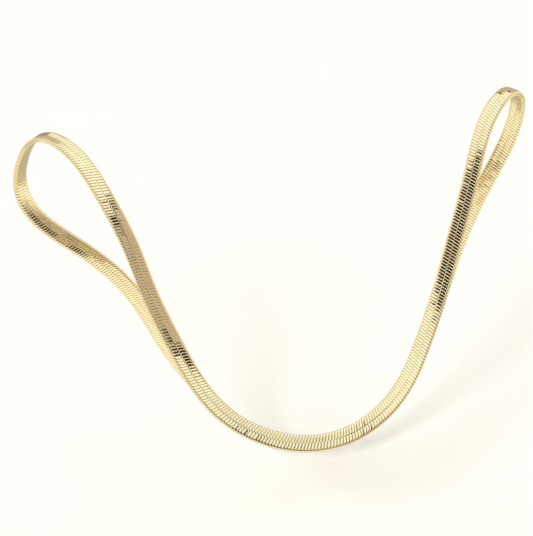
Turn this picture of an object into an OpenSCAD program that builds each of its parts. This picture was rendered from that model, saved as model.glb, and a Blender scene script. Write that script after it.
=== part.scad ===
// Herringbone chain necklace, held in the shape in which it hangs.
// A flat band of pressed curb links leaves and re-enters two end caps, and a
// lobster clasp with two jump rings closes the loop at the back.
// Z is up, Y points to the back of the loop, and the origin is the point on
// the underside of the band where it hangs at the top left.

/* [Band] */
// Width of the band across both columns of links
strand_w = 4.0; // [3:0.1:6]
// Thickness of the band
strand_t = 1.1; // [0.8:0.05:1.6]
// Depth of the seam between the two columns
seam_depth = 0.1; // [0.05:0.01:0.2]
// Half width of the seam
seam_half_w = 0.35; // [0.2:0.05:0.6]

/* [End caps] */
// Wall of the cap around the band
cap_wall = 0.25; // [0.2:0.05:0.5]
// Depth of band held inside the cap
pocket_depth = 2.4; // [1.8:0.1:4]
// Radius of the cap's long rounded edges
cap_round = 0.45; // [0.2:0.05:0.5]

/* [Eyes] */
// Radius of the hole in each eye
eye_r = 0.8; // [0.7:0.05:1.2]
// Metal around the hole
eye_wall = 0.5; // [0.4:0.05:0.8]
// Thickness of the eye
eye_t = 0.8; // [0.6:0.05:1]

/* [Jump rings] */
// Radius of the ring to the middle of its wire
ring_r = 1.8; // [1.7:0.1:2.6]
// Thickness of the ring's wire
ring_wire = 0.7; // [0.5:0.05:0.8]

/* [Clasp] */
// Length from the middle of the clasp's eye to the middle of its hook
clasp_reach = 5.6; // [5:0.1:9]
// Inner radius of the hook's round end
hook_r = 1.1; // [1:0.05:1.6]
// Inner radius of the hook's opening beside the gate
gate_r = 0.8; // [0.6:0.05:1.2]
// Metal around the hook
hook_wall = 0.9; // [0.7:0.05:1.3]
// Thickness of the clasp's body
clasp_t = 1.3; // [1.1:0.05:1.6]
// Radius of the thumb knob on the gate
knob_r = 0.55; // [0.4:0.05:0.8]

/* [Fit] */
// Gap left between pieces that hold each other
clearance = 0.12; // [0.08:0.01:0.2]

/* [Hidden] */
$fn = 48;
gold = [0.87, 0.75, 0.48];

// Guide points of the loop, in order from the clasp up the back left, over
// the left crest, round the front and back over the right crest.
// Columns: x, y, z, then the direction across the band to its inner edge.
route = [
    [ 61.5,  10.0, -99.5,  0.0, 0.0, 1.0],
    [ 49.0,   8.0, -95.5,  0.3, 0.0, 1.0],
    [ 39.0,   7.5, -87.0,  0.7, 0.0, 0.8],
    [ 31.5,   7.0, -76.0,  0.8, 0.1, 0.6],
    [ 25.0,   7.0, -65.5,  0.9, 0.1, 0.5],
    [ 20.0,   7.0, -53.5,  0.9, 0.2, 0.5],
    [ 14.0,   7.0, -43.5,  0.8, 0.3, 0.6],
    [  6.0,   6.5, -35.5,  0.7, 0.4, 0.6],
    [ -1.5,   6.0, -29.5,  0.6, 0.6, 0.5],
    [ -7.5,   5.5, -22.5,  0.6, 0.7, 0.2],
    [ -9.0,   6.5, -15.0,  0.6, 0.8, 0.0],
    [ -7.0,   6.0,  -7.5,  0.6, 0.8, 0.0],
    [ -4.0,   3.5,  -1.5,  0.6, 0.8, 0.0],
    [  1.0,  -0.5,   1.0,  0.6, 0.8, 0.0],
    [  8.0,  -6.5,  -1.5,  0.7, 0.6, 0.2],
    [ 13.5, -13.0,  -8.5,  0.8, 0.5, 0.2],
    [ 19.0, -18.5, -16.5,  0.8, 0.4, 0.3],
    [ 22.5, -22.5, -27.0,  0.8, 0.5, 0.3],
    [ 28.0, -27.0, -37.0,  0.8, 0.5, 0.3],
    [ 32.5, -32.5, -43.5,  0.7, 0.5, 0.4],
    [ 38.5, -38.0, -49.5,  0.5, 0.6, 0.6],
    [ 47.0, -42.0, -53.0,  0.3, 0.7, 0.7],
    [ 57.0, -44.0, -54.5,  0.0, 0.7, 0.7],
    [ 67.0, -43.0, -53.5, -0.3, 0.7, 0.7],
    [ 75.0, -38.5, -51.0, -0.5, 0.6, 0.6],
    [ 81.5, -31.5, -47.0, -0.7, 0.5, 0.4],
    [ 85.5, -23.0, -41.5, -0.9, 0.4, 0.3],
    [ 90.0, -14.0, -33.0, -0.9, 0.4, 0.1],
    [ 93.5,  -5.5, -22.5, -0.9, 0.4, 0.0],
    [ 97.0,   2.0, -13.0, -0.9, 0.4, 0.0],
    [ 99.0,   8.5,  -5.5, -0.9, 0.4, 0.0],
    [102.0,  14.0,  -0.5, -0.9, 0.4, 0.1],
    [106.0,  19.0,   2.0, -0.8, 0.6, 0.0],
    [109.5,  22.5,  -0.5, -0.7, 0.7, 0.0],
    [109.5,  23.5,  -7.5, -0.8, 0.6, 0.0],
    [107.5,  23.5, -16.0, -0.9, 0.4, 0.1],
    [102.5,  22.5, -27.0, -0.9, 0.3, 0.3],
    [ 97.5,  21.5, -40.0, -0.9, 0.1, 0.2],
    [ 94.0,  19.0, -52.5, -1.0, 0.0, 0.2],
    [ 91.0,  17.5, -65.0, -1.0, 0.0, 0.2],
    [ 87.5,  16.0, -77.0, -0.9, 0.0, 0.4],
    [ 82.0,  14.0, -88.0, -0.7, 0.0, 0.7],
    [ 73.0,  12.0, -97.0, -0.4, 0.0, 0.9],
];
// Place along the route, in guide points, of the crest where it hangs.
hang_u = 13;

// Sides of the band's section, and its rings for each guide point.
section_sides = 16;
rings_per_point = 4;
// Steps for each guide point when the route's length is measured.
steps_per_point = 12;
// How square the band's section is: 1 is an ellipse, 0 a rectangle.
side_roundness = 0.5;
face_roundness = 0.6;

point_count = len(route);

function unit(v) = v / norm(v);
function row(i) = route[(i + 4 * point_count) % point_count];
function place_of(r) = [r[0], r[1], r[2]];
function inner_of(r) = [r[3], r[4], r[5]];

// A uniform cubic B-spline through the four rows around u, and its slope.
function mix(i, w) = w[0] * row(i - 1) + w[1] * row(i) + w[2] * row(i + 1) + w[3] * row(i + 2);
function spline(u) =
    let (i = floor(u), f = u - i)
    mix(i, [(1 - f) ^ 3, 3 * f ^ 3 - 6 * f ^ 2 + 4, -3 * f ^ 3 + 3 * f ^ 2 + 3 * f + 1, f ^ 3] / 6);
function slope(u) =
    let (i = floor(u), f = u - i)
    mix(i, [-(1 - f) ^ 2, 3 * f ^ 2 - 4 * f, -3 * f ^ 2 + 2 * f + 1, f ^ 2] / 2);

// The band's own axes at u: place, along, across to the inner edge, face.
function raw_frame(u) =
    let (s = spline(u),
         along = unit(place_of(slope(u))),
         hint = inner_of(s),
         across = unit(hint - (hint * along) * along))
    [place_of(s), along, across, cross(along, across)];
hang_frame = raw_frame(hang_u);
origin = hang_frame[0] - hang_frame[3] * strand_t / 2;
function frame_u(u) =
    let (f = raw_frame(u))
    [f[0] - origin, f[1], f[2], f[3]];

// Length along the loop against u, so that pieces are placed by millimetres.
length_table = [
    for (i = 0, s = 0;
         i <= point_count * steps_per_point;
         s = s + norm(place_of(spline((i + 1) / steps_per_point))
                      - place_of(spline(i / steps_per_point))),
         i = i + 1)
    [s, i / steps_per_point]
];
loop_length = length_table[len(length_table) - 1][0];
function u_at(s) = lookup(s < 0 ? s + loop_length : s, length_table);
function frame_at(s) = frame_u(u_at(s));

// Distance from a ring's middle to the loaded edge of a wall of thickness t.
function seat(t) = sqrt((ring_r - ring_wire / 2) ^ 2 - (t / 2) ^ 2) - clearance;
eye_seat = seat(eye_t) + eye_r;
hook_seat = seat(clasp_t) + hook_r;
cap_box = pocket_depth + 2 * cap_wall;
cap_reach = cap_box + eye_r + cap_wall;

// The clasp's eye and hook lie evenly about the middle of the back.
clasp_frame = frame_at(0);
clasp_eye = clasp_frame[0] + clasp_frame[1] * clasp_reach / 2;
clasp_hook = clasp_frame[0] - clasp_frame[1] * clasp_reach / 2;

// Middle of a cap's eye when its mouth is s along the loop; side is 1 to the
// left of the clasp and -1 to the right.
function cap_eye(s, side) =
    let (f = frame_at(side * s))
    f[0] - side * cap_reach * f[1];
// Halving search for the mouth whose eye lies span away from the clasp.
function mouth(side, from, span, low, high, tries) =
    let (middle = (low + high) / 2)
    tries == 0 ? middle
    : norm(cap_eye(middle, side) - from) > span ? mouth(side, from, span, low, middle, tries - 1)
    : mouth(side, from, span, middle, high, tries - 1);
search_tries = 16;
search_reach = clasp_reach + 2 * ring_r + 2 * cap_reach;
left_mouth = mouth(1, clasp_eye, 2 * eye_seat, cap_reach, search_reach, search_tries);
right_mouth = mouth(-1, clasp_hook, hook_seat + eye_seat, cap_reach, search_reach, search_tries);

// A matrix from a place and its first and third axes.
function matrix_of(p, x, z) =
    let (y = cross(z, x))
    [[x[0], y[0], z[0], p[0]],
     [x[1], y[1], z[1], p[1]],
     [x[2], y[2], z[2], p[2]],
     [0, 0, 0, 1]];

// One point of the band's section, [across, out of the face].
function section_point(a) =
    let (c = cos(a), s = sin(a),
         x = strand_w / 2 * sign(c) * abs(c) ^ side_roundness,
         seam = seam_depth * max(0, 1 - (x / seam_half_w) ^ 2))
    [x, sign(s) * max(0, strand_t / 2 * abs(s) ^ face_roundness - seam)];
section = [for (k = [0 : section_sides - 1]) section_point(k * 360 / section_sides)];
function ring_points(f, shift) =
    [for (q = section) f[0] + shift * f[1] + q[0] * f[2] + q[1] * f[3]];

module strand() {
    u_first = u_at(left_mouth);
    u_last = u_at(-right_mouth);
    ring_count = round((u_last - u_first) * rings_per_point);
    stub = pocket_depth - clearance;
    rings = concat(
        [ring_points(frame_u(u_first), -stub)],
        [for (i = [0 : ring_count])
            ring_points(frame_u(u_first + (u_last - u_first) * i / ring_count), 0)],
        [ring_points(frame_u(u_last), stub)]);
    n = section_sides;
    last = (len(rings) - 1) * n;
    sides = [
        for (i = [0 : len(rings) - 2], k = [0 : n - 1])
        let (a = i * n + k, b = i * n + (k + 1) % n)
        each [[a, b + n, b], [a, a + n, b + n]]
    ];
    color(gold)
        polyhedron(
            points = [for (r = rings) each r],
            faces = concat(sides,
                           [[for (k = [0 : n - 1]) k]],
                           [[for (k = [n - 1 : -1 : 0]) last + k]]));
}

// A flat eye with its hole through the thickness.
module eye_plate() {
    linear_extrude(eye_t, center = true)
        difference() {
            circle(eye_r + eye_wall);
            circle(eye_r);
        }
}

// The cap's section, with four rounded corners.
module cap_outline(w, t) {
    square([w - 2 * cap_round, t], center = true);
    square([w, t - 2 * cap_round], center = true);
    for (x = [-1, 1], y = [-1, 1])
        translate([x * (w / 2 - cap_round), y * (t / 2 - cap_round)])
            circle(cap_round);
}

// A cap pressed over the band's end, with its mouth at the origin and its
// eye along +X.
module end_cap() {
    inner_w = strand_w + 2 * clearance;
    inner_t = strand_t + 2 * clearance;
    difference() {
        union() {
            rotate([90, 0, 90])
                linear_extrude(cap_box)
                    cap_outline(inner_w + 2 * cap_wall, inner_t + 2 * cap_wall);
            translate([cap_reach, 0, 0])
                eye_plate();
        }
        translate([pocket_depth / 2 - clearance, 0, 0])
            cube([pocket_depth + 2 * clearance, inner_w, inner_t], center = true);
        translate([cap_reach, 0, 0])
            cylinder(h = 2 * strand_t, r = eye_r, center = true);
    }
}

module end_cap_left() {
    f = frame_at(left_mouth);
    color(gold)
        multmatrix(matrix_of(f[0], -f[1], f[3]))
            end_cap();
}

module end_cap_right() {
    f = frame_at(-right_mouth);
    color(gold)
        multmatrix(matrix_of(f[0], f[1], f[3]))
            end_cap();
}

// A soldered ring that hangs on the clasp at one end and the cap's eye at
// the other, standing across both holes.
module jump_ring(from, to, from_seat) {
    along = unit(to - from);
    up = unit(clasp_frame[3] - (clasp_frame[3] * along) * along);
    color(gold)
        multmatrix(matrix_of(from + from_seat * along, along, up))
            rotate([90, 0, 0])
                rotate_extrude()
                    translate([ring_r, 0])
                        circle(ring_wire / 2);
}

module jump_ring_left() {
    jump_ring(clasp_eye, cap_eye(left_mouth, 1), eye_seat);
}

module jump_ring_right() {
    jump_ring(clasp_hook, cap_eye(right_mouth, -1), hook_seat);
}

// The clasp's body seen from its face: a round hook end, a body that narrows
// to the eye, and the opening that the gate closes.
module clasp_outline() {
    hook_x = -clasp_reach / 2;
    eye_x = clasp_reach / 2;
    body_half_w = hook_r + hook_wall;
    shoulder_x = hook_x + clasp_reach * 0.45;
    neck_half_w = eye_r + eye_wall / 2;
    gate_x = shoulder_x - gate_r;
    difference() {
        union() {
            translate([hook_x, 0])
                circle(body_half_w);
            polygon([
                [hook_x, body_half_w], [shoulder_x, body_half_w],
                [eye_x - eye_r, neck_half_w], [eye_x - eye_r, -neck_half_w],
                [shoulder_x, -body_half_w], [hook_x, -body_half_w]]);
            translate([shoulder_x, body_half_w])
                circle(knob_r);
        }
        translate([hook_x, 0])
            circle(hook_r);
        polygon([
            [hook_x, hook_r], [gate_x, gate_r],
            [gate_x, -gate_r], [hook_x, -hook_r]]);
        translate([gate_x, 0])
            circle(gate_r);
        translate([eye_x, 0])
            circle(eye_r);
    }
}

module clasp() {
    f = clasp_frame;
    color(gold)
        multmatrix(matrix_of(f[0], f[1], f[3])) {
            linear_extrude(clasp_t, center = true)
                clasp_outline();
            translate([clasp_reach / 2, 0, 0])
                eye_plate();
        }
}

strand();
end_cap_left();
end_cap_right();
jump_ring_left();
jump_ring_right();
clasp();
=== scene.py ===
"""Herringbone chain necklace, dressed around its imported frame.

Every link of the band is built as the real one is, a flat wire loop that dives
under its neighbours at the seam and was pressed flat with them. The end caps,
jump rings and lobster clasp take the places of their plain solids.
"""

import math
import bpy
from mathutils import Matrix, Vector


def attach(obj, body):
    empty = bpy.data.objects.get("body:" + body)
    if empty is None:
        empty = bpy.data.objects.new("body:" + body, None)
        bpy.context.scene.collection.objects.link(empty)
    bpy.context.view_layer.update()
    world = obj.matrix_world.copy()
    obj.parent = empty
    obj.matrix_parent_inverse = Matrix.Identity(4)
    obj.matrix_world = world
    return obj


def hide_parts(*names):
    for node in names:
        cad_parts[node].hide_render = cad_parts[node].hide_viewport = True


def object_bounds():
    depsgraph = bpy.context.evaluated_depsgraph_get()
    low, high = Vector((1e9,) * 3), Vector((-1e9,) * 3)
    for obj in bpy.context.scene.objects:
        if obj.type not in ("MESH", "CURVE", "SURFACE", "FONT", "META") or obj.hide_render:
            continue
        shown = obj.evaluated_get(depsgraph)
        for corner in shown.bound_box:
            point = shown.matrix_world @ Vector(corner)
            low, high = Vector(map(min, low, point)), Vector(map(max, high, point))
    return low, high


bl_info = {
    "name": "Herringbone Chain",
    "version": (1, 0, 0),
    "blender": (4, 5, 0),
    "location": "View3D > Sidebar > Chain",
    "description": "Builds the links, fittings, finishes and stage of a herringbone chain",
    "category": "Add Mesh",
}

import bmesh
import bpy
import numpy as np
from mathutils import Matrix, Vector

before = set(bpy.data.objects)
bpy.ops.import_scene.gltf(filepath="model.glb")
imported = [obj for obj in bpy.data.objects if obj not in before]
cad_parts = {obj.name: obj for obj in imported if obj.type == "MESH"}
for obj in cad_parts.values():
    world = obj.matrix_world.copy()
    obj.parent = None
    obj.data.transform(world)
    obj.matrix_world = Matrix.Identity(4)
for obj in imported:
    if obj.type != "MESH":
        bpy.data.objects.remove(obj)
cad_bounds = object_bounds()

MM = 0.001

# Guide points of the loop in millimetres, in order from the clasp up the back
# left, over the left crest, round the front and back over the right crest.
# Columns: x, y, z, then the direction across the band to its inner edge.
ROUTE = (
    (61.5, 10, -99.5, 0, 0, 1),
    (49, 8, -95.5, 0.3, 0, 1),
    (39, 7.5, -87, 0.7, 0, 0.8),
    (31.5, 7, -76, 0.8, 0.1, 0.6),
    (25, 7, -65.5, 0.9, 0.1, 0.5),
    (20, 7, -53.5, 0.9, 0.2, 0.5),
    (14, 7, -43.5, 0.8, 0.3, 0.6),
    (6, 6.5, -35.5, 0.7, 0.4, 0.6),
    (-1.5, 6, -29.5, 0.6, 0.6, 0.5),
    (-7.5, 5.5, -22.5, 0.6, 0.7, 0.2),
    (-9, 6.5, -15, 0.6, 0.8, 0),
    (-7, 6, -7.5, 0.6, 0.8, 0),
    (-4, 3.5, -1.5, 0.6, 0.8, 0),
    (1, -0.5, 1, 0.6, 0.8, 0),
    (8, -6.5, -1.5, 0.7, 0.6, 0.2),
    (13.5, -13, -8.5, 0.8, 0.5, 0.2),
    (19, -18.5, -16.5, 0.8, 0.4, 0.3),
    (22.5, -22.5, -27, 0.8, 0.5, 0.3),
    (28, -27, -37, 0.8, 0.5, 0.3),
    (32.5, -32.5, -43.5, 0.7, 0.5, 0.4),
    (38.5, -38, -49.5, 0.5, 0.6, 0.6),
    (47, -42, -53, 0.3, 0.7, 0.7),
    (57, -44, -54.5, 0, 0.7, 0.7),
    (67, -43, -53.5, -0.3, 0.7, 0.7),
    (75, -38.5, -51, -0.5, 0.6, 0.6),
    (81.5, -31.5, -47, -0.7, 0.5, 0.4),
    (85.5, -23, -41.5, -0.9, 0.4, 0.3),
    (90, -14, -33, -0.9, 0.4, 0.1),
    (93.5, -5.5, -22.5, -0.9, 0.4, 0),
    (97, 2, -13, -0.9, 0.4, 0),
    (99, 8.5, -5.5, -0.9, 0.4, 0),
    (102, 14, -0.5, -0.9, 0.4, 0.1),
    (106, 19, 2, -0.8, 0.6, 0),
    (109.5, 22.5, -0.5, -0.7, 0.7, 0),
    (109.5, 23.5, -7.5, -0.8, 0.6, 0),
    (107.5, 23.5, -16, -0.9, 0.4, 0.1),
    (102.5, 22.5, -27, -0.9, 0.3, 0.3),
    (97.5, 21.5, -40, -0.9, 0.1, 0.2),
    (94, 19, -52.5, -1, 0, 0.2),
    (91, 17.5, -65, -1, 0, 0.2),
    (87.5, 16, -77, -0.9, 0, 0.4),
    (82, 14, -88, -0.7, 0, 0.7),
    (73, 12, -97, -0.4, 0, 0.9),
)
# Place along the route, in guide points, of the crest where the loop hangs.
HANG_U = 13
STEPS_PER_POINT = 60

# How far each column leans away from the other, in degrees, where the drape
# folds the band a little at its seam. Columns: guide point, fold. A positive
# fold is a roof and a negative one a valley.
FOLD = (
    (0, 0.0), (11, -3.0), (13.5, -5.0), (14.6, 2.0), (15.5, 5.0), (18.7, 5.0), (20, 2.0),
    (22.4, 2.0), (23.2, 0.0), (24.5, 0.0), (28, 2.5), (30, 2.5), (31.5, 5.0), (33, 3.0), (43, 0.0),
)

# Lean of a bar's edge from straight across, in degrees, from the band's edge
# to its seam. Columns: share of the half width from the seam, lean.
LEAN = ((1.0, 40.0), (0.75, 30.0), (0.4, 24.0), (0.18, 14.0), (0.08, -8.0), (0.0, -30.0))
LEAN_SAMPLES = 241

# Half of a bar's section, where it lies flat and where it bends round the
# band's edge. Columns: share of the half width, drop below the face in
# millimetres.
FLAT_SECTION = ((1.0, 0.032), (0.9, 0.011), (0.62, 0.0015))
BEND_SECTION = ((1.0, 0.13), (0.82, 0.045), (0.45, 0.007))
# Share of a bar's width that is left at the tip of its finger and where it
# turns round the band's edge.
FINGER_TIP = 0.05
EDGE_SHARE = 0.93
# Shares of a leg's length between which a bar narrows to that edge share and
# turns from flat to round.
NARROWING = (0.9, 1.1)
ROUNDING = (0.95, 1.05)
# Pitches that a bar gains along the band from its edge to the seam, so that
# the legs meet half a pitch apart there.
SEAM_GAIN = 0.75
# Share of the links' wobble that tilts them across the band, and the seed
# that the wobble is drawn from.
CROSS_TILT = 0.5
SEED = 7
# Links at each end of the band that are held inside its end cap, and the
# halvings that find the place of a cap's mouth.
HELD_LINKS = 2
HALVINGS = 16
# Stretches of the band, in the order of the route, each one mesh.
STRETCHES = ("back_left", "left", "front", "right", "back_right")

# Rounding of an eye's rims, as a share of the metal around its hole.
EYE_ROUNDING = 0.4
# End cap: depth of its groove and rounding of its mouth, and radius of its
# closed end, as shares of its wall. Start of its groove, as a share of its
# pocket's depth. Points round a quarter turn.
CAP_RIM = 0.2
CAP_NOSE = 1.2
CAP_GROOVE = 0.18
CORNER_POINTS = 6
# Jump ring: how much thicker it is at its solder joint, as a share, and how
# far from the joint's middle that lasts, in radians. Points round the ring
# and round its wire.
SOLDER_SWELL = 0.05
SOLDER_SPREAD = 0.14
RING_POINTS = (64, 12)
# Clasp: distance of its shoulder from the hook, as a share of its reach, and
# of the split between body and gate from the shoulder, as a share of the
# gate's radius. Angles round the hook at which the hook and the gate end.
SHOULDER = 0.45
GATE_SPLIT = 0.3
HOOK_END = 128
GATE_END = 126
# Clasp's pin: its place past the shoulder, as a share of the knob's radius,
# and its place up the body, as a share of half the body's width.
PIN_PAST = 0.25
PIN_UP = 0.57
# Thickness and rounding of the clasp's plates, as shares of its thickness.
BODY_PLATE = (1.0, 0.22)
GATE_PLATE = (0.85, 0.17)
PIN_PLATE = (1.05, 0.08)
# Points of a fitting that lie closer than this are joined.
MERGE_DISTANCE = 0.0001 * MM

# Real sizes of the surfaces' patterns, in millimetres: clouds in the plating,
# haze from handling, width and length of the polishing lines, which are drawn
# coarser than real ones, and clouds in the board's paint.
CLOUD_WIDTH = 3.03
HAZE_WIDTH = 0.5
LINE_WIDTH = 0.05
LINE_LENGTH = 0.4
PAINT_WIDTH = 250.0
# Share of each colour that the thickest plating and paint keep.
PLATING_TINT = (1, 0.97, 0.93, 1)
PAINT_TINT = 0.99
# The clearest and the haziest metal: value of the noise, share of the roughness.
HAZE = ((0.3, 0.75), (0.7, 1.35))
LINE_HEIGHT = 0.02 * MM

# The dark band low around the studio that polished metal mirrors.
# Columns: azimuth from the back, turning to the right, then the elevation of
# the band's lower and upper edges, all in degrees, and its light.
DARK_BAND = (
    (-180, -8, 36, 0.04), (-172, -8, 36.5, 0.04), (-167, 15, 58.5, 0.03),
    (-159, 36, 58.5, 0.03), (-153, 35, 56.5, 0.03), (-147, 33, 55.5, 0.03),
    (-141, 31, 54.5, 0.03), (-137, 30, 52.5, 0.03), (-127, 30, 48, 0.03),
    (-120, 36, 42, 0.1), (-100, 40, 43, 0.3), (-30, 40, 43, 0.4),
    (-20, -12, 16, 0.26), (-15, -14, 18, 0.26), (-11, 38, 44, 0.1),
    (-6, 41, 48, 0.05), (4, 40.5, 41, 0.5), (9, 36, 39, 0.1),
    (14, 31, 39, 0.05), (20, 34, 36, 0.3), (100, 50, 52, 0.5),
    (118, 53, 55, 0.02), (129, 53.3, 55.6, 0.02), (133, 52, 55.5, 0.02),
    (135, 48.5, 55, 0.02), (138, 41, 55, 0.02), (145, 42, 54.5, 0.02),
    (149, 43, 53, 0.02), (152, 38, 51, 0.02), (156, 29.5, 49, 0.02),
    (160, 29.5, 47, 0.02), (161.5, 33.5, 46.5, 0.02), (163, 38, 45, 0.02),
    (166, 38, 43, 0.02), (170, 30, 38, 0.04), (174, -8, 36, 0.04),
    (180, -8, 36, 0.04),
)

# Light below the dark band, towards the viewer and behind the chain.
# Columns: elevation in degrees, light.
FRONT_LIGHT = ((-90, 1.3), (-10, 1.15), (-5, 0.1), (7, 0.1), (14, 0.6), (90, 0.6))
BACK_LIGHT = ((-90, 0.7), (-80, 0.7), (-69, 0.5), (-45, 0.56), (-33, 0.56), (-22, 0.36),
              (-8, 0.5), (10, 0.58), (90, 0.58))
# The front's light fades into the back's between two directions, given by
# how far each points to the back, from -1 to 1.
BACK_FADE = (-0.35, -0.05)
# Light of the ceiling: two elevations in degrees, then the light at each.
CEILING_LIGHT = (46, 62, 1.03, 1.1)
# Parts of the studio with soft edges: a shade high at the front of the ceiling,
# a small bright skylight above it that only tilted metal mirrors, a bright card
# low at the front left and a wing at each side. Azimuths, then elevations, in
# degrees: where a part starts, is full, starts to fade and has faded. With
# two values it stays full. Last its light, or for the shade what it takes.
CEILING_SHADE = ((165, 174), (52, 54.5, 59, 63), 0.2)
SKYLIGHT = ((158, 164), (76, 78), 3.0)
CARD = ((-158, -152, -122, -116), (6, 12, 31, 35), 1.7)
WINGS = ((30, 60, 95, 116), (-32, -24, 34, 40), 1.2)
# Half the width, in degrees, over which the dark band's edges fade.
SOFT_EDGE = 1.0
# Tints of the studio from below to its top, and the elevations in degrees
# between which the level one and the top one come in.
LOW_TINT = "#FFF6EE"
LEVEL_TINT = "#FFEBDD"
LEVEL_STOPS = (-10, 10)
CEILING_TINT = "#FFFFFF"
TOP_TINT = "#F6FAFF"
TOP_STOPS = (60, 80)
# The plain wall that the camera sees in place of the studio.
WALL_COLOUR = "#FAFBF4"
# The key light's spread in degrees, and its way.
KEY_SPREAD = 14
KEY_WAY = (0.35, 0.75, -0.75)


def linear(hex_colour):
    """The linear colour, with alpha, of an sRGB hex value."""
    parts = [int(hex_colour[i:i + 2], 16) / 255 for i in (1, 3, 5)]
    return [c / 12.92 if c <= 0.04045 else ((c + 0.055) / 1.055) ** 2.4 for c in parts] + [1.0]


class ChainSizes(bpy.types.PropertyGroup):
    """Sizes of the band's links."""

    band_width: bpy.props.FloatProperty(
        name="Band Width", description="Width across both columns of links",
        default=4.0 * MM, min=1.0 * MM, unit="LENGTH", precision=5)
    band_thickness: bpy.props.FloatProperty(
        name="Band Thickness", description="Thickness of the pressed band",
        default=1.1 * MM, min=0.4 * MM, unit="LENGTH", precision=5)
    link_pitch: bpy.props.FloatProperty(
        name="Link Pitch", description="Distance from one link to the next along the band",
        default=0.72 * MM, min=0.3 * MM, unit="LENGTH", precision=5)
    bar_thickness: bpy.props.FloatProperty(
        name="Bar Thickness", description="Thickness of the pressed wire of a link",
        default=0.5 * MM, min=0.1 * MM, unit="LENGTH", precision=5)
    bar_fill: bpy.props.FloatProperty(
        name="Bar Fill", description="Share of the pitch that a bar fills",
        default=0.975, min=0.5, max=1.0, subtype="FACTOR")
    finger_length: bpy.props.FloatProperty(
        name="Finger Length", description="Distance each side of the seam in which a bar tapers",
        default=0.24 * MM, min=0.1 * MM, unit="LENGTH", precision=5)
    dive_width: bpy.props.FloatProperty(
        name="Dive Width", description="Half the distance in which a bar's tip dives under",
        default=0.08 * MM, min=0.05 * MM, unit="LENGTH", precision=5)
    seam_droop: bpy.props.FloatProperty(
        name="Seam Droop", description="How far a bar's tip sinks below the face",
        default=0.07 * MM, min=0.0, unit="LENGTH", precision=5)
    edge_roundness: bpy.props.FloatProperty(
        name="Edge Roundness", description="How round a bar turns at the band's edge, 0 is square",
        default=0.55, min=0.3, max=1.0, subtype="FACTOR")
    wobble: bpy.props.FloatProperty(
        name="Wobble", description="How unevenly the links sit, as an angle",
        default=math.radians(0.5), min=0.0, subtype="ANGLE")


class FittingSizes(bpy.types.PropertyGroup):
    """Sizes of the end caps, jump rings and clasp."""

    cap_pocket: bpy.props.FloatProperty(
        name="Cap Pocket", description="Depth of the band held inside an end cap",
        default=2.4 * MM, min=0.01 * MM, unit="LENGTH", precision=5)
    cap_wall: bpy.props.FloatProperty(
        name="Cap Wall", description="Wall of an end cap around the band",
        default=0.25 * MM, min=0.01 * MM, unit="LENGTH", precision=5)
    cap_round: bpy.props.FloatProperty(
        name="Cap Round", description="Radius of an end cap's long edges",
        default=0.45 * MM, min=0.01 * MM, unit="LENGTH", precision=5)
    eye_radius: bpy.props.FloatProperty(
        name="Eye Radius", description="Radius of the hole in each eye",
        default=0.8 * MM, min=0.01 * MM, unit="LENGTH", precision=5)
    eye_wall: bpy.props.FloatProperty(
        name="Eye Wall", description="Metal around the hole of an eye",
        default=0.5 * MM, min=0.01 * MM, unit="LENGTH", precision=5)
    eye_thickness: bpy.props.FloatProperty(
        name="Eye Thickness", description="Thickness of an eye",
        default=0.8 * MM, min=0.01 * MM, unit="LENGTH", precision=5)
    ring_radius: bpy.props.FloatProperty(
        name="Ring Radius", description="Radius of a jump ring to the middle of its wire",
        default=1.8 * MM, min=0.01 * MM, unit="LENGTH", precision=5)
    ring_wire: bpy.props.FloatProperty(
        name="Ring Wire", description="Thickness of a jump ring's wire",
        default=0.7 * MM, min=0.01 * MM, unit="LENGTH", precision=5)
    clasp_reach: bpy.props.FloatProperty(
        name="Clasp Reach", description="Length from the clasp's eye to its hook",
        default=5.6 * MM, min=0.01 * MM, unit="LENGTH", precision=5)
    clasp_thickness: bpy.props.FloatProperty(
        name="Clasp Thickness", description="Thickness of the clasp's body",
        default=1.3 * MM, min=0.01 * MM, unit="LENGTH", precision=5)
    hook_radius: bpy.props.FloatProperty(
        name="Hook Radius", description="Inner radius of the hook's round end",
        default=1.1 * MM, min=0.01 * MM, unit="LENGTH", precision=5)
    gate_radius: bpy.props.FloatProperty(
        name="Gate Radius", description="Inner radius of the hook beside the gate",
        default=0.8 * MM, min=0.01 * MM, unit="LENGTH", precision=5)
    hook_wall: bpy.props.FloatProperty(
        name="Hook Wall", description="Metal around the hook",
        default=0.9 * MM, min=0.01 * MM, unit="LENGTH", precision=5)
    knob_radius: bpy.props.FloatProperty(
        name="Knob Radius", description="Radius of the gate's thumb knob",
        default=0.55 * MM, min=0.01 * MM, unit="LENGTH", precision=5)
    gate_gap: bpy.props.FloatProperty(
        name="Gate Gap", description="Gap between the gate and the clasp's body",
        default=0.05 * MM, min=0.01 * MM, unit="LENGTH", precision=5)
    clearance: bpy.props.FloatProperty(
        name="Clearance", description="Gap left between pieces that hold each other",
        default=0.12 * MM, min=0.01 * MM, unit="LENGTH", precision=5)


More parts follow.
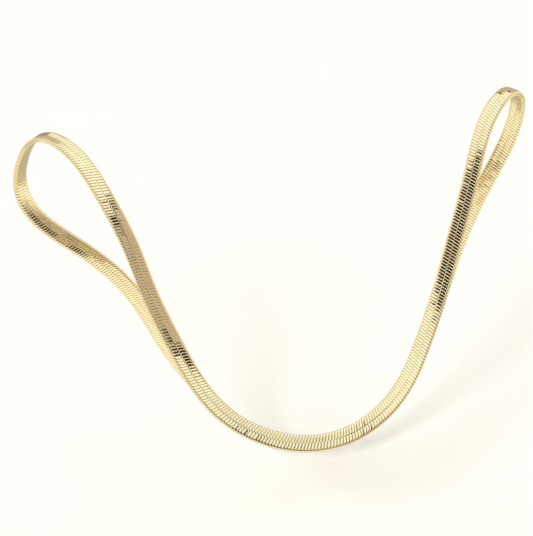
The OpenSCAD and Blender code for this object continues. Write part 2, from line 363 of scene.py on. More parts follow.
class ChainFinishes(bpy.types.PropertyGroup):
    """Colours and gloss of the metal and the floor."""

    link_colour: bpy.props.FloatVectorProperty(
        name="Link Colour", description="Colour of the plated links",
        default=linear("#FAEFC2"), size=4, min=0.0, max=1.0, subtype="COLOR")
    fitting_colour: bpy.props.FloatVectorProperty(
        name="Fitting Colour", description="Colour of the plated fittings",
        default=linear("#F8EABA"), size=4, min=0.0, max=1.0, subtype="COLOR")
    floor_colour: bpy.props.FloatVectorProperty(
        name="Floor Colour", description="Colour of the floor",
        default=linear("#FAFBF5"), size=4, min=0.0, max=1.0, subtype="COLOR")
    link_roughness: bpy.props.FloatProperty(
        name="Link Roughness", description="Roughness of the polished links",
        default=0.045, min=0.0, max=1.0, subtype="FACTOR")
    fitting_roughness: bpy.props.FloatProperty(
        name="Fitting Roughness", description="Roughness of the cast and tumbled fittings",
        default=0.1, min=0.0, max=1.0, subtype="FACTOR")


class ChainStage(bpy.types.PropertyGroup):
    """Camera, floor and light."""

    camera_place: bpy.props.FloatVectorProperty(
        name="Camera Place", description="Where the camera stands",
        default=(48.14 * MM, -425.67 * MM, 263.01 * MM), unit="LENGTH", precision=5)
    camera_down: bpy.props.FloatProperty(
        name="Camera Down", description="Angle of the camera's view below level",
        default=math.radians(35.0), subtype="ANGLE")
    camera_lens: bpy.props.FloatProperty(
        name="Camera Lens", description="Focal length on a 36 mm wide sensor",
        default=147.75, unit="CAMERA")
    floor_drop: bpy.props.FloatProperty(
        name="Floor Drop", description="Distance from the loop's lowest point to the floor",
        default=8.0 * MM, unit="LENGTH", precision=5)
    floor_size: bpy.props.FloatProperty(
        name="Floor Size", description="Length of the square floor's sides",
        default=8.0, unit="LENGTH")
    key_strength: bpy.props.FloatProperty(
        name="Key Strength", description="Strength of the soft key light", default=1.3)


def unit(v):
    """Rows of v at length one."""
    return v / np.linalg.norm(v, axis=-1, keepdims=True)


def between(x, start, stop):
    """How far x has come from start to stop, from 0 before to 1 past them."""
    return np.clip((x - start) / (stop - start), 0, 1)


def axes(place, x, z):
    """A matrix at a place, with its x and z axes along two unit vectors."""
    matrix = Matrix((x, z.cross(x), z)).transposed().to_4x4()
    matrix.translation = place
    return matrix


class Band:
    """The band's own axes along the route: place, along, across and face."""

    def __init__(self, thickness):
        rows = np.array(ROUTE)
        count = len(rows)
        self.u = np.linspace(0, count, count * STEPS_PER_POINT + 1)
        i = np.floor(self.u).astype(int)
        f = (self.u - i)[:, None]
        near = [rows[(i + k) % count] for k in (-1, 0, 1, 2)]
        weights = ((1 - f) ** 3, 3 * f ** 3 - 6 * f ** 2 + 4,
                   -3 * f ** 3 + 3 * f ** 2 + 3 * f + 1, f ** 3)
        slopes = (-(1 - f) ** 2, 3 * f ** 2 - 4 * f, -3 * f ** 2 + 2 * f + 1, f ** 2)
        mixed = sum(w * r for w, r in zip(weights, near)) / 6
        self.along = unit(sum(w * r for w, r in zip(slopes, near))[:, :3])
        hint = mixed[:, 3:]
        self.across = unit(hint - (hint * self.along).sum(1, keepdims=True) * self.along)
        self.face = np.cross(self.along, self.across)
        self.place = mixed[:, :3] * MM
        hang = HANG_U * STEPS_PER_POINT
        self.place = self.place - (self.place[hang] - self.face[hang] * thickness / 2)
        steps = np.linalg.norm(np.diff(self.place, axis=0), axis=1)
        self.length = np.concatenate(([0.0], np.cumsum(steps)))
        self.fold = np.radians(np.interp(self.u, *np.array(FOLD).T))

    def at(self, s, values):
        """Values of the band's samples at the lengths s."""
        if values.ndim == 1:
            return np.interp(s, self.length, values)
        return np.stack([np.interp(s, self.length, values[:, k]) for k in range(3)], axis=-1)

    def matrix(self, s, forward):
        """Axes at length s: x along the band or back along it, z out of its face."""
        s = np.array([s % self.length[-1]])
        place, along, face = (Vector(self.at(s, rows)[0])
                              for rows in (self.place, self.along, self.face))
        return axes(place, along * forward, face)


class Closure:
    """Where the end caps, jump rings and clasp sit on the band."""

    def __init__(self, band, sizes):
        self.band = band
        self.cap_box = sizes.cap_pocket + 2 * sizes.cap_wall
        self.cap_reach = self.cap_box + sizes.eye_radius + sizes.cap_wall
        self.clasp = band.matrix(0, 1)
        self.clasp_eye = self.clasp @ Vector((sizes.clasp_reach / 2, 0, 0))
        self.clasp_hook = self.clasp @ Vector((-sizes.clasp_reach / 2, 0, 0))
        inside = sizes.ring_radius - sizes.ring_wire / 2
        # From a ring's middle to the middle of a hole that hangs in it.
        self.eye_seat, self.hook_seat = (
            math.sqrt(inside ** 2 - (wall / 2) ** 2) - sizes.clearance + hole
            for wall, hole in ((sizes.eye_thickness, sizes.eye_radius),
                               (sizes.clasp_thickness, sizes.hook_radius)))
        farthest = sizes.clasp_reach + 2 * sizes.ring_radius + 2 * self.cap_reach
        self.search = (self.cap_reach, farthest)
        self.left_mouth = self.mouth(1, self.clasp_eye, 2 * self.eye_seat)
        self.right_mouth = self.mouth(-1, self.clasp_hook, self.hook_seat + self.eye_seat)

    def cap(self, side):
        """Axes of an end cap at its mouth: side is 1 left of the clasp, -1 right."""
        length = self.left_mouth if side > 0 else self.right_mouth
        return self.band.matrix(side * length, -side)

    def cap_eye(self, side):
        """Middle of an end cap's eye."""
        return self.cap(side) @ Vector((self.cap_reach, 0, 0))

    def mouth(self, side, start, span):
        """Length from the clasp's middle to the cap's mouth whose eye lies a
        span away from the start, by halving."""
        low, high = self.search
        for _ in range(HALVINGS):
            middle = (low + high) / 2
            eye = self.band.matrix(side * middle, -side) @ Vector((self.cap_reach, 0, 0))
            if (eye - start).length > span:
                high = middle
            else:
                low = middle
        return (low + high) / 2

    def ring(self, start, end, seat):
        """Axes of a jump ring that hangs between two holes: x from one to the other."""
        along = (end - start).normalized()
        face = self.clasp.col[2].to_3d()
        up = (face - face.dot(along) * along).normalized()
        return axes(start + seat * along, along, up)


def make_closure(scene):
    """The closure on its band, from the sizes in the sidebar."""
    return Closure(Band(scene.chain_sizes.band_thickness), scene.chain_fittings)


def lean_path(reach, pitch):
    """Distance along the band that a top bar has gained, against its place
    from the band's edge, across the seam and to the other edge under it."""
    share, lean = np.array(LEAN[::-1]).T
    n = np.linspace(-reach, reach, LEAN_SAMPLES)
    top = np.tan(np.radians(np.interp(-n / reach, share, lean)))
    seam_slope = top[n <= 0][-1]
    gained = np.concatenate(([0.0], np.cumsum((top[1:] + top[:-1]) / 2 * np.diff(n))))
    at_seam = gained[n <= 0][-1]
    wanted = SEAM_GAIN * pitch
    gained = gained * wanted / at_seam
    under = n > 0
    x = n[under] / reach
    seam_slope = seam_slope * wanted / at_seam * reach
    # Under the band the bar sweeps back to its own edge.
    gained[under] = wanted + seam_slope * x - (wanted + seam_slope) * x ** 2
    return n, gained


def link_path(sizes):
    """One link's closed path in the band's axes: along, across and height,
    with half its thickness, its width shares at both sides of the thickness,
    the direction of the thickness and how round the section is."""
    tall = sizes.band_thickness / 2
    half_bar = sizes.bar_thickness / 2
    height = tall - half_bar
    reach = sizes.band_width / 2 - half_bar
    turn = reach - height
    finger, dive = sizes.finger_length, sizes.dive_width
    edge_stops = np.array((1.0, 0.88, 0.7, 0.52, 0.34)) * turn
    dive_stops = np.array((-1.0, -0.4, 0.4, 1.0)) * dive
    middle_stops = np.array((-0.35, 0.0, 0.35)) * finger
    leg_n = np.concatenate((-edge_stops, dive_stops - finger, middle_stops, dive_stops + finger,
                            edge_stops[::-1]))
    angles = np.radians(np.array((-68.0, -45.0, -22.0, 22.0, 45.0, 68.0)))
    table_n, table_gain = lean_path(reach, sizes.link_pitch)

    def gain(n):
        """How far the bar has come along the band at a place across it."""
        return np.interp(n, table_n, table_gain)

    def upper(n):
        """Height of a leg's upper side, which droops to the seam and dives past it."""
        droop = sizes.seam_droop * between(n, -finger, finger) ** 2
        sunk = (np.sin(np.clip((n - finger) / dive, -1, 1) * math.pi / 2) + 1) / 2
        return (tall - droop) * (1 - sunk) + (half_bar - height) * sunk

    def leg(sign):
        """A top leg to the seam and on under the other column. Its lower side
        is the mirror of its upper one, so both faces of the band look alike."""
        h = (upper(leg_n) - upper(-leg_n)) / 2
        return np.stack((sign * gain(leg_n), sign * leg_n, h), axis=1)

    def bend(sign):
        """The bar's turn round the band's edge, from a lower leg to a top one."""
        n = turn + height * np.cos(angles) ** sizes.edge_roundness
        h = height * np.sign(angles) * np.abs(np.sin(angles)) ** sizes.edge_roundness
        along = np.where(angles > 0, -gain(-n), gain(n))
        return np.stack((sign * along, sign * n, h), axis=1)

    path = np.concatenate((leg(1), bend(1), leg(-1), bend(-1)))
    ahead = np.roll(path, -1, axis=0) - np.roll(path, 1, axis=0)
    tangent = unit(ahead[:, 1:])
    # Each leg is level, so its thickness stands straight up.
    level = np.zeros(len(path), bool)
    level[:len(leg_n)] = True
    level[len(leg_n) + len(angles):-len(angles)] = True
    tangent = np.where(level[:, None], np.sign(tangent[:, :1]) * (1, 0), tangent)
    thick = np.stack((-tangent[:, 1], tangent[:, 0]), axis=1)
    half_leg = (upper(leg_n) + upper(-leg_n)) / 2
    half_bend = np.full(len(angles), half_bar)
    half = np.concatenate((half_leg, half_bend, half_leg, half_bend))
    # A bar tapers to a finger between its neighbours' fingers, and narrows
    # again where it turns round the band's edge.
    edge = 1 - (1 - EDGE_SHARE) * between(np.abs(leg_n) / turn, *NARROWING)
    taper = np.clip(0.5 - leg_n / (2 * finger), FINGER_TIP, 1)
    regrown = np.clip(FINGER_TIP + (leg_n - finger - dive) / dive, FINGER_TIP, 1)
    over = np.minimum(np.maximum(taper, regrown), edge)
    turned = np.full(len(angles), EDGE_SHARE)
    up = np.concatenate((over, turned, over[::-1], turned))
    down = np.concatenate((over[::-1], turned, over, turned))
    # Towards the band's edge the bar turns from flat to round.
    leg_round = between(np.abs(leg_n) / turn, *ROUNDING)
    bend_round = np.ones(len(angles))
    rounded = np.concatenate((leg_round, bend_round, leg_round, bend_round))
    return path, half, np.stack((up, down), axis=1), thick, rounded


def bar_section(face):
    """Section of a bar: shares of its half width, drops below its face and
    sides of its thickness, both faces alike."""
    top = [(-x, drop * MM, 1) for x, drop in face]
    top += [(x, drop * MM, 1) for x, drop in reversed(face)]
    return np.array(top + [(x, drop, -1) for x, drop, _ in reversed(top)])


def add_object(name, data):
    """An object with its data, in the scene."""
    obj = bpy.data.objects.new(name, data)
    bpy.context.scene.collection.objects.link(obj)
    return obj


def mesh_object(name, points, faces, normals=None, smooth=True):
    """A mesh object in the scene, with its own normals if they are given."""
    mesh = bpy.data.meshes.new(name)
    mesh.from_pydata(points, [], faces)
    mesh.polygons.foreach_set("use_smooth", np.full(len(mesh.polygons), smooth))
    mesh.update()
    if normals is not None:
        mesh.normals_split_custom_set_from_vertices(normals)
    return add_object(name, mesh)


def face_weighted(points):
    """Normals of links from the areas of the faces round each vertex, which
    keeps the flat faces flat. Axes of points: link, path, section, place."""
    ahead = np.roll(points, -1, axis=1)
    aside = np.roll(points, -1, axis=2)
    across = np.roll(ahead, -1, axis=2)
    faces = np.cross(aside - ahead, across - points)
    faces = faces + np.roll(faces, 1, axis=1)
    faces = faces + np.roll(faces, 1, axis=2)
    return unit(faces)


def tube_faces(path_count, section_count):
    """Quads of a tube that closes on itself, such as a link or a ring."""
    i, j = np.meshgrid(np.arange(path_count), np.arange(section_count), indexing="ij")
    i2 = (i + 1) % path_count
    j2 = (j + 1) % section_count
    corners = (i * section_count + j, i * section_count + j2,
               i2 * section_count + j2, i2 * section_count + j)
    return np.stack(corners, axis=-1).reshape(-1, 4)


def build_links(band, sizes, first, last):
    """Points and normals of every link between two lengths of the band, one
    row a link, and the faces of one link."""
    count = round((last - first) / sizes.link_pitch)
    pitch = (last - first) / count
    path, half, width, thick, rounded = link_path(sizes)
    flat, bent = bar_section(FLAT_SECTION), bar_section(BEND_SECTION)
    section = flat + (bent - flat) * rounded[:, None, None]
    side = section[..., 2]
    rise = side * (half[:, None] - section[..., 1])
    share = section[..., 0] * np.where(side > 0, width[:, :1], width[:, 1:])
    a = path[:, None, 0] + share * sizes.bar_fill * pitch / 2
    n = path[:, None, 1] + rise * thick[:, None, 0]
    h = path[:, None, 2] + rise * thick[:, None, 1]
    rng = np.random.default_rng(SEED)
    tilt = np.tan(rng.normal(0, sizes.wobble, (2, count, 1, 1)))
    h = h + a * tilt[0] + n * tilt[1] * CROSS_TILT
    s = first + (np.arange(count) + 0.5)[:, None, None] * pitch + a
    n = np.broadcast_to(n, s.shape)
    h = h + (sizes.band_width / 4 - np.abs(n)) * np.tan(band.at(s, band.fold))
    points = (band.at(s, band.place) + band.at(s, band.across) * n[..., None]
              + band.at(s, band.face) * h[..., None])
    normals = face_weighted(points)
    return points.reshape(count, -1, 3), normals.reshape(count, -1, 3), tube_faces(*a.shape)


def arc(x, y, radius, start, stop, count=24):
    """Points of an arc about a middle, between two angles in degrees."""
    angles = np.radians(np.linspace(start, stop, count))
    return [(x + radius * math.cos(a), y + radius * math.sin(a)) for a in angles]


def circle(x, y, radius, count=48):
    """Points of a full circle about a middle."""
    return arc(x, y, radius, 0, 360 - 360 / count, count)


def plate(outlines, thickness, rounding):
    """Mesh of a flat plate with its outlines and holes in the x-y plane and
    rounded rims. It is built in millimetres, since filling needs large curves."""
    curve = bpy.data.curves.new("plate", "CURVE")
    curve.dimensions = "2D"
    curve.fill_mode = "BOTH"
    curve.extrude = (thickness / 2 - rounding) / MM
    curve.bevel_depth = rounding / MM
    curve.bevel_resolution = 3
    curve.offset = -rounding / MM
    for outline in outlines:
        spline = curve.splines.new("POLY")
        spline.points.add(len(outline) - 1)
        for point, (x, y) in zip(spline.points, outline):
            point.co = (x / MM, y / MM, 0, 1)
        spline.use_cyclic_u = True
    holder = bpy.data.objects.new("plate", curve)
    mesh = bpy.data.meshes.new_from_object(holder)
    bpy.data.objects.remove(holder)
    bpy.data.curves.remove(curve)
    mesh.transform(Matrix.Scale(MM, 4))
    return mesh


def eye_plate(x, sizes):
    """A flat eye with its hole, x along its fitting."""
    rim = circle(x, 0, sizes.eye_radius + sizes.eye_wall)
    hole = circle(x, 0, sizes.eye_radius)
    return plate([rim, hole], sizes.eye_thickness, sizes.eye_wall * EYE_ROUNDING)


def cap_box(sizes, band_width, band_thickness, length):
    """Mesh of an end cap's box, lofted from the bottom of its pocket over its
    mouth, along a groove and round its far end. Its mouth lies at the origin."""
    wall = sizes.cap_wall
    rim = wall * CAP_RIM
    groove = sizes.cap_pocket * CAP_GROOVE
    nose = wall * CAP_NOSE
    # Place along the cap, inset from its outer face.
    rows = [(sizes.cap_pocket, wall), (rim, wall), (0, wall - rim), (0, rim), (rim, 0),
            (groove, 0), (groove + rim, rim), (groove + 3 * rim, rim), (groove + 4 * rim, 0)]
    rows += [(length - nose + nose * math.sin(a), nose * (1 - math.cos(a)))
             for a in np.radians(np.linspace(0, 90, CORNER_POINTS))]
    points = []
    for x, inset in rows:
        half_w = band_width / 2 + sizes.clearance + wall - inset
        half_t = band_thickness / 2 + sizes.clearance + wall - inset
        corner = max(sizes.cap_round - inset, wall / 2)
        for quarter, (across, up) in enumerate(((1, 1), (-1, 1), (-1, -1), (1, -1))):
            bend = arc(across * (half_w - corner), up * (half_t - corner), corner,
                       90 * quarter, 90 * quarter + 90, CORNER_POINTS)
            points += [(x, y, z) for y, z in bend]
    side = 4 * CORNER_POINTS
    faces = tube_faces(len(rows), side)[:-side].tolist()
    faces += [list(range(side)), list(range(len(points) - side, len(points)))]
    mesh = bpy.data.meshes.new("cap_box")
    mesh.from_pydata(points, [], faces)
    return mesh


def soldered_ring(radius, wire):
    """Mesh of a wire ring about the y axis, a little thicker at its solder joint."""
    around, across = RING_POINTS
    points = []
    for i in range(around):
        a = math.tau * i / around
        joint = math.exp(-((a - math.pi / 2) / SOLDER_SPREAD) ** 2)
        thick = wire / 2 * (1 + SOLDER_SWELL * joint)
        for j in range(across):
            b = math.tau * j / across
            reach = radius + thick * math.cos(b)
            points.append((reach * math.cos(a), thick * math.sin(b), reach * math.sin(a)))
    mesh = bpy.data.meshes.new("ring")
    mesh.from_pydata(points, [], tube_faces(around, across).tolist())
    return mesh


def clasp_meshes(sizes):
    """Meshes of the lobster clasp's body, spring gate and pin, with the eye
    towards x and the gate towards y."""
    hook_x, eye_x = -sizes.clasp_reach / 2, sizes.clasp_reach / 2
    half_w = sizes.hook_radius + sizes.hook_wall
    shoulder_x = hook_x + sizes.clasp_reach * SHOULDER
    neck_x, neck_w = eye_x - sizes.eye_radius, sizes.eye_radius + sizes.eye_wall / 2
    gate_x = shoulder_x - sizes.gate_radius
    split = shoulder_x - sizes.gate_radius * GATE_SPLIT
    gap = sizes.gate_gap

    def inner(x):
        """Angle on the opening's small arc at a place along the clasp."""
        return math.degrees(math.acos((x - gate_x) / sizes.gate_radius))

    def part(outline, shares):
        """A plate whose thickness and rounding are shares of the clasp's thickness."""
        thickness, rounding = (share * sizes.clasp_thickness for share in shares)
        return plate([outline], thickness, rounding)

    body = [(split, half_w), (shoulder_x, half_w), (neck_x, neck_w), (neck_x, -neck_w),
            (shoulder_x, -half_w)]
    body += arc(hook_x, 0, half_w, 270, HOOK_END)
    body += arc(hook_x, 0, sizes.hook_radius, HOOK_END, 270)
    body += arc(gate_x, 0, sizes.gate_radius, -90, inner(split))
    gate = [(split - gap, half_w)]
    gate += arc(hook_x, 0, half_w, 90, GATE_END, 10)
    gate += arc(hook_x, 0, sizes.hook_radius, GATE_END, 90, 10)
    gate += arc(gate_x, 0, sizes.gate_radius, 90, inner(split - gap), 8)
    knob = circle(shoulder_x, half_w, sizes.knob_radius)
    pin_x = shoulder_x + sizes.knob_radius * PIN_PAST
    pin = circle(pin_x, half_w * PIN_UP, sizes.knob_radius / 2)
    return {
        "clasp_body": [part(body, BODY_PLATE), eye_plate(eye_x, sizes)],
        "clasp_gate": [part(gate, GATE_PLATE), part(knob, BODY_PLATE)],
        "clasp_pin": [part(pin, PIN_PLATE)],
    }


def place_fitting(name, meshes, matrix, node):
    """One object of meshes in a fitting's own axes, in place of a CAD node."""
    joined = bmesh.new()
    for mesh in meshes:
        joined.from_mesh(mesh)
        bpy.data.meshes.remove(mesh)
    bmesh.ops.remove_doubles(joined, verts=joined.verts, dist=MERGE_DISTANCE)
    bmesh.ops.recalc_face_normals(joined, faces=joined.faces)
    joined.transform(matrix)
    mesh = bpy.data.meshes.new(name)
    joined.to_mesh(mesh)
    joined.free()
    mesh.shade_smooth()
    mesh.materials.append(cast_metal())
    obj = add_object(name, mesh)
    obj.modifiers.new("flat_faces_stay_flat", "WEIGHTED_NORMAL")
    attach(obj, "root")
    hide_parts(node)


def add_node(tree, kind, settings=None, **links):
    """A shader node with its settings and its inputs' values or links. An
    input is given by its name, with _ for a space, or as _ and its number."""
    node = tree.nodes.new("ShaderNode" + kind)
    for key, value in (settings or {}).items():
        setattr(node, key, value)
    for key, value in links.items():
        socket = node.inputs[int(key[1:]) if key[0] == "_" else key.replace("_", " ")]
        if isinstance(value, bpy.types.NodeSocket):
            tree.links.new(value, socket)
        else:
            socket.default_value = value
    return node


def noise_scale(size):
    """Noise scale of a pattern whose real size is given in millimetres."""
    return 1 / (size * MM)


def new_material(name):
    """An empty node material with its Principled shader and output."""
    material = bpy.data.materials.new(name)
    material.use_nodes = True
    tree = material.node_tree
    tree.nodes.clear()
    shader = add_node(tree, "BsdfPrincipled")
    add_node(tree, "OutputMaterial", Surface=shader.outputs["BSDF"])
    return material, tree, shader


def plated_brass(name, colour, roughness):
    """Brass plated with pale gold, rolled or cast and then polished: a clear
    warm mirror, broken a little by polishing lines and uneven plating."""
    material, tree, shader = new_material(name)
    shader.inputs["Metallic"].default_value = 1.0
    place = add_node(tree, "TexCoord").outputs["Object"]
    # Plating of uneven thickness, a touch warmer where it is thick.
    clouds = add_node(tree, "TexNoise", None, Vector=place,
                      Scale=noise_scale(CLOUD_WIDTH), Detail=3.0)
    tint = add_node(tree, "Mix", {"data_type": "RGBA"}, _0=clouds.outputs["Fac"],
                    _6=list(colour), _7=[c * k for c, k in zip(colour, PLATING_TINT)])
    tree.links.new(tint.outputs[2], shader.inputs["Base Color"])
    # Haze from handling, which softens the mirror in places.
    haze = add_node(tree, "TexNoise", None, Vector=place,
                    Scale=noise_scale(HAZE_WIDTH), Detail=2.0)
    (clear, clear_share), (hazy, hazy_share) = HAZE
    rough = add_node(tree, "MapRange", None, Value=haze.outputs["Fac"], _1=clear, _2=hazy,
                     _3=roughness * clear_share, _4=roughness * hazy_share)
    tree.links.new(rough.outputs[0], shader.inputs["Roughness"])
    # Fine lines left by polishing, which only break up the sharpest glints.
    fine, long = noise_scale(LINE_WIDTH), noise_scale(LINE_LENGTH)
    stretch = add_node(tree, "Mapping", None, Vector=place, Scale=(fine, fine, long))
    lines = add_node(tree, "TexNoise", None, Vector=stretch.outputs[0],
                     Scale=1.0, Detail=1.0)
    bump = add_node(tree, "Bump", None, Strength=0.01, Distance=LINE_HEIGHT,
                    Height=lines.outputs["Fac"])
    tree.links.new(bump.outputs[0], shader.inputs["Normal"])
    return material


def cast_metal():
    """The one metal of all fittings: cast, tumbled and plated, so its mirror
    is a little softer than the pressed links' one."""
    finishes = bpy.context.scene.chain_finishes
    name = "gold_plated_brass_cast"
    return bpy.data.materials.get(name) or plated_brass(
        name, finishes.fitting_colour, finishes.fitting_roughness)


def matt_board(name, colour):
    """Painted board with a matt face: an even pale ground for a soft shadow."""
    material, tree, shader = new_material(name)
    shader.inputs["Roughness"].default_value = 0.9
    shader.inputs["Specular IOR Level"].default_value = 0.1
    place = add_node(tree, "TexCoord").outputs["Object"]
    grain = add_node(tree, "TexNoise", None, Vector=place,
                     Scale=noise_scale(PAINT_WIDTH), Detail=2.0)
    tint = add_node(tree, "Mix", {"data_type": "RGBA"}, _0=grain.outputs["Fac"],
                    _6=list(colour), _7=[c * PAINT_TINT for c in colour])
    tree.links.new(tint.outputs[2], shader.inputs["Base Color"])
    return material


def value_along(tree, share, rows, reach, full):
    """A value that follows rows of an angle, up to the reach each way, and a
    value, up to full each way. Share is the angle's place from 0 to 1."""
    curve = add_node(tree, "FloatCurve", None, Value=share)
    points = curve.mapping.curves[0].points
    while len(points) < len(rows):
        points.new(0.5, 0.5)
    for point, (angle, value) in zip(points, rows):
        point.location = ((angle / reach + 1) / 2, (value / full + 1) / 2)
        point.handle_type = "VECTOR"
    curve.mapping.update()
    return add_node(tree, "Math", {"operation": "MULTIPLY_ADD"},
                    _0=curve.outputs[0], _1=2.0 * full, _2=-full).outputs[0]


def studio_world():
    """A soft tent: bright above, a dark band round it and a grey lower part."""
    world = bpy.data.worlds.new("studio_tent")
    world.use_nodes = True
    bpy.context.scene.world = world
    tree = world.node_tree
    tree.nodes.clear()
    way = add_node(tree, "TexCoord").outputs["Generated"]
    split = add_node(tree, "SeparateXYZ", None, _0=way).outputs
    rise = add_node(tree, "Math", {"operation": "ARCSINE"}, _0=split["Z"])
    turn = add_node(tree, "Math", {"operation": "ARCTAN2"}, _0=split["X"], _1=split["Y"])
    # Both angles in quarter turns, and then as shares of their whole range.
    elevation, azimuth = (
        add_node(tree, "Math", {"operation": "MULTIPLY"},
                 _0=angle.outputs[0], _1=2 / math.pi).outputs[0]
        for angle in (rise, turn))
    aside = add_node(tree, "Math", {"operation": "ABSOLUTE"}, _0=azimuth).outputs[0]
    height_share, round_share = (
        add_node(tree, "Math", {"operation": "MULTIPLY_ADD"},
                 _0=angle, _1=quarter, _2=0.5).outputs[0]
        for angle, quarter in ((elevation, 0.5), (azimuth, 0.25)))
    edges = ([(row[0], row[k] / 90) for row in DARK_BAND] for k in (1, 2))
    low, high = (value_along(tree, round_share, rows, 180, 1) for rows in edges)
    dark = value_along(tree, round_share, [(row[0], row[3]) for row in DARK_BAND], 180, 2)
    front, back = (value_along(tree, height_share, rows, 90, 2)
                   for rows in (FRONT_LIGHT, BACK_LIGHT))

    def above(edge):
        """1 above an edge and 0 below it."""
        soft = SOFT_EDGE / 90
        gap = add_node(tree, "Math", {"operation": "SUBTRACT"}, _0=elevation, _1=edge)
        return add_node(tree, "MapRange", {"interpolation_type": "SMOOTHSTEP"},
                        _0=gap.outputs[0], _1=-soft, _2=soft).outputs[0]

    def window(angle, stops):
        """1 inside two or four stops in degrees and 0 outside them."""
        sides = [add_node(tree, "MapRange", None, _0=angle, _1=start / 90, _2=stop / 90,
                          _3=first, _4=1 - first).outputs[0]
                 for start, stop, first in zip(stops[::2], stops[1::2], (0, 1))]
        if len(sides) == 1:
            return sides[0]
        return add_node(tree, "Math", {"operation": "MULTIPLY"},
                        _0=sides[0], _1=sides[1]).outputs[0]

    def inside(part, angle):
        """1 inside a part of the studio and 0 outside it."""
        return add_node(tree, "Math", {"operation": "MULTIPLY"},
                        _0=window(angle, part[0]), _1=window(elevation, part[1])).outputs[0]

    behind = add_node(tree, "MapRange", None, _0=split["Y"],
                      _1=BACK_FADE[0], _2=BACK_FADE[1]).outputs[0]
    start, stop, first, last = CEILING_LIGHT
    ceiling = add_node(tree, "MapRange", None, _0=elevation, _1=start / 90, _2=stop / 90,
                       _3=first, _4=last).outputs[0]
    ceiling = add_node(tree, "Math", {"operation": "MULTIPLY_ADD"}, _2=ceiling,
                       _0=inside(CEILING_SHADE, aside), _1=-CEILING_SHADE[2]).outputs[0]
    # Lights and then tints, each laid over the ones before it.
    light = front
    for share, value in ((behind, back), (inside(CARD, azimuth), CARD[2]),
                         (inside(WINGS, aside), WINGS[2]), (above(low), dark),
                         (above(high), ceiling), (inside(SKYLIGHT, aside), SKYLIGHT[2])):
        light = add_node(tree, "Mix", None, _0=share, _2=light, _3=value).outputs[0]
    colour = linear(LOW_TINT)
    for share, tint in ((window(elevation, LEVEL_STOPS), LEVEL_TINT), (above(high), CEILING_TINT),
                        (window(elevation, TOP_STOPS), TOP_TINT)):
        colour = add_node(tree, "Mix", {"data_type": "RGBA"},
                          _0=share, _6=colour, _7=linear(tint)).outputs[2]
    studio = add_node(tree, "Background", None, Strength=light, Color=colour)
    wall = add_node(tree, "Background", None, Strength=1.0, Color=linear(WALL_COLOUR))
    seen = add_node(tree, "LightPath").outputs["Is Camera Ray"]
    both = add_node(tree, "MixShader", None, _0=seen, _1=studio.outputs[0],
                    _2=wall.outputs[0])
    add_node(tree, "OutputWorld", None, Surface=both.outputs[0])


class CHAIN_OT_links(bpy.types.Operator):
    """Build every pressed link of the band"""

    bl_idname = "chain.links"
    bl_label = "Links"

    def execute(self, context):
        sizes = context.scene.chain_sizes
        finishes = context.scene.chain_finishes
        closure = make_closure(context.scene)
        band = closure.band
        held = sizes.link_pitch * HELD_LINKS
        last = band.length[-1] - closure.right_mouth + held
        points, normals, faces = build_links(band, sizes, closure.left_mouth - held, last)
        # Pressed flat and polished, the links mirror the studio sharply.
        metal = plated_brass("gold_plated_brass_pressed", finishes.link_colour,
                             finishes.link_roughness)
        edges = np.linspace(0, len(points), len(STRETCHES) + 1).astype(int)
        for stretch, start, stop in zip(STRETCHES, edges[:-1], edges[1:]):
            part = points[start:stop]
            all_faces = faces[None] + (np.arange(len(part)) * part.shape[1])[:, None, None]
            obj = mesh_object(f"links_{stretch}", part.reshape(-1, 3), all_faces.reshape(-1, 4),
                              normals[start:stop].reshape(-1, 3))
            obj.data.materials.append(metal)
            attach(obj, "root")
            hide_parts("strand")
        return {"FINISHED"}


class CHAIN_OT_end_caps(bpy.types.Operator):
    """Build the two end caps that are pressed over the band's ends"""

    bl_idname = "chain.end_caps"
    bl_label = "End Caps"

    def execute(self, context):
        sizes = context.scene.chain_fittings
        links = context.scene.chain_sizes
        closure = make_closure(context.scene)
        for name, side in (("left", 1), ("right", -1)):
            box = cap_box(sizes, links.band_width, links.band_thickness, closure.cap_box)
            meshes = [box, eye_plate(closure.cap_reach, sizes)]
            place_fitting(f"cap_{name}", meshes, closure.cap(side), f"end_cap_{name}")
        return {"FINISHED"}


class CHAIN_OT_jump_rings(bpy.types.Operator):
    """Build the two soldered jump rings that join the caps to the clasp"""

    bl_idname = "chain.jump_rings"
    bl_label = "Jump Rings"

    def execute(self, context):
        sizes = context.scene.chain_fittings
        closure = make_closure(context.scene)
        places = {
            "left": closure.ring(closure.clasp_eye, closure.cap_eye(1), closure.eye_seat),
            "right": closure.ring(closure.clasp_hook, closure.cap_eye(-1), closure.hook_seat),
        }
        for name, matrix in places.items():
            ring = soldered_ring(sizes.ring_radius, sizes.ring_wire)
            place_fitting(f"ring_{name}", [ring], matrix, f"jump_ring_{name}")
        return {"FINISHED"}


class CHAIN_OT_clasp(bpy.types.Operator):
    """Build the lobster clasp with its gate and pin"""

    bl_idname = "chain.clasp"
    bl_label = "Clasp"

    def execute(self, context):
        closure = make_closure(context.scene)
        for name, meshes in clasp_meshes(context.scene.chain_fittings).items():
            place_fitting(name, meshes, closure.clasp, "clasp")
        return {"FINISHED"}


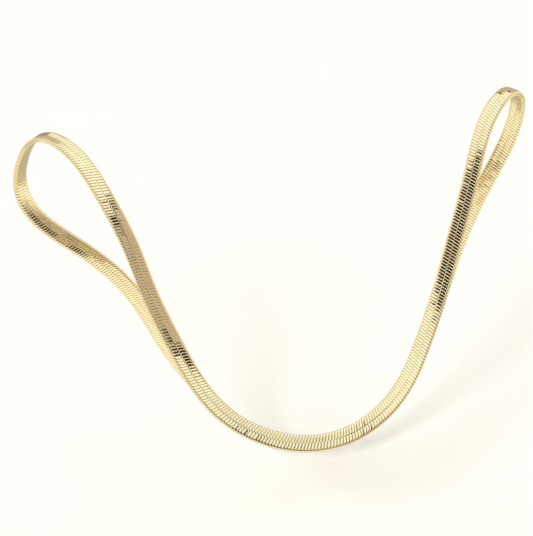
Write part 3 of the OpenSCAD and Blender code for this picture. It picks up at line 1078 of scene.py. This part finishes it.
class CHAIN_OT_stage(bpy.types.Operator):
    """Set up the camera, floor and light"""

    bl_idname = "chain.stage"
    bl_label = "Stage"

    def execute(self, context):
        stage = context.scene.chain_stage
        finishes = context.scene.chain_finishes
        camera_data = bpy.data.cameras.new("camera")
        camera_data.lens = stage.camera_lens
        camera_data.sensor_width = 36
        camera_data.sensor_fit = "HORIZONTAL"
        camera_data.clip_start = 0.01
        camera_data.clip_end = 50
        camera = add_object("camera", camera_data)
        camera.location = stage.camera_place
        camera.rotation_euler = (math.pi / 2 - stage.camera_down, 0, 0)
        context.scene.camera = camera

        half = stage.floor_size / 2
        level = cad_bounds[0][2] - stage.floor_drop
        corners = [(x * half, y * half, level) for x, y in ((-1, -1), (1, -1), (1, 1), (-1, 1))]
        floor = mesh_object("floor", corners, [(0, 1, 2, 3)], smooth=False)
        floor.data.materials.append(matt_board("painted_board", finishes.floor_colour))
        floor.visible_glossy = False

        studio_world()
        key_data = bpy.data.lights.new("key", "SUN")
        key_data.energy = stage.key_strength
        key_data.angle = math.radians(KEY_SPREAD)
        key = add_object("key", key_data)
        key.rotation_euler = Vector(KEY_WAY).to_track_quat("-Z", "Y").to_euler()
        key.visible_glossy = False
        context.scene.view_settings.view_transform = "Standard"
        return {"FINISHED"}


class CHAIN_PT_panel(bpy.types.Panel):
    """Sizes, finishes and steps of the herringbone chain"""

    bl_idname = "CHAIN_PT_panel"
    bl_label = "Herringbone Chain"
    bl_space_type = "VIEW_3D"
    bl_region_type = "UI"
    bl_category = "Chain"

    def draw(self, context):
        for key in GROUPS:
            group = getattr(context.scene, key)
            box = self.layout.box()
            for name in group.__annotations__:
                box.prop(group, name)
        for operator in OPERATORS:
            self.layout.operator(operator.bl_idname)


GROUPS = {
    "chain_sizes": ChainSizes, "chain_fittings": FittingSizes,
    "chain_finishes": ChainFinishes, "chain_stage": ChainStage,
}
OPERATORS = (
    CHAIN_OT_stage, CHAIN_OT_links, CHAIN_OT_end_caps, CHAIN_OT_jump_rings, CHAIN_OT_clasp,
)


def register():
    """Add the chain's groups of sizes, its operators and its panel."""
    for name, group in GROUPS.items():
        bpy.utils.register_class(group)
        setattr(bpy.types.Scene, name, bpy.props.PointerProperty(type=group))
    for operator in OPERATORS:
        bpy.utils.register_class(operator)
    bpy.utils.register_class(CHAIN_PT_panel)


def unregister():
    """Take the panel, operators and groups away again."""
    bpy.utils.unregister_class(CHAIN_PT_panel)
    for operator in reversed(OPERATORS):
        bpy.utils.unregister_class(operator)
    for name, group in GROUPS.items():
        delattr(bpy.types.Scene, name)
        bpy.utils.unregister_class(group)


def main():
    """Build the stage and every piece."""
    register()
    bpy.ops.chain.stage()
    bpy.ops.chain.links()
    bpy.ops.chain.end_caps()
    bpy.ops.chain.jump_rings()
    bpy.ops.chain.clasp()


if __name__ == "__main__":
    main()
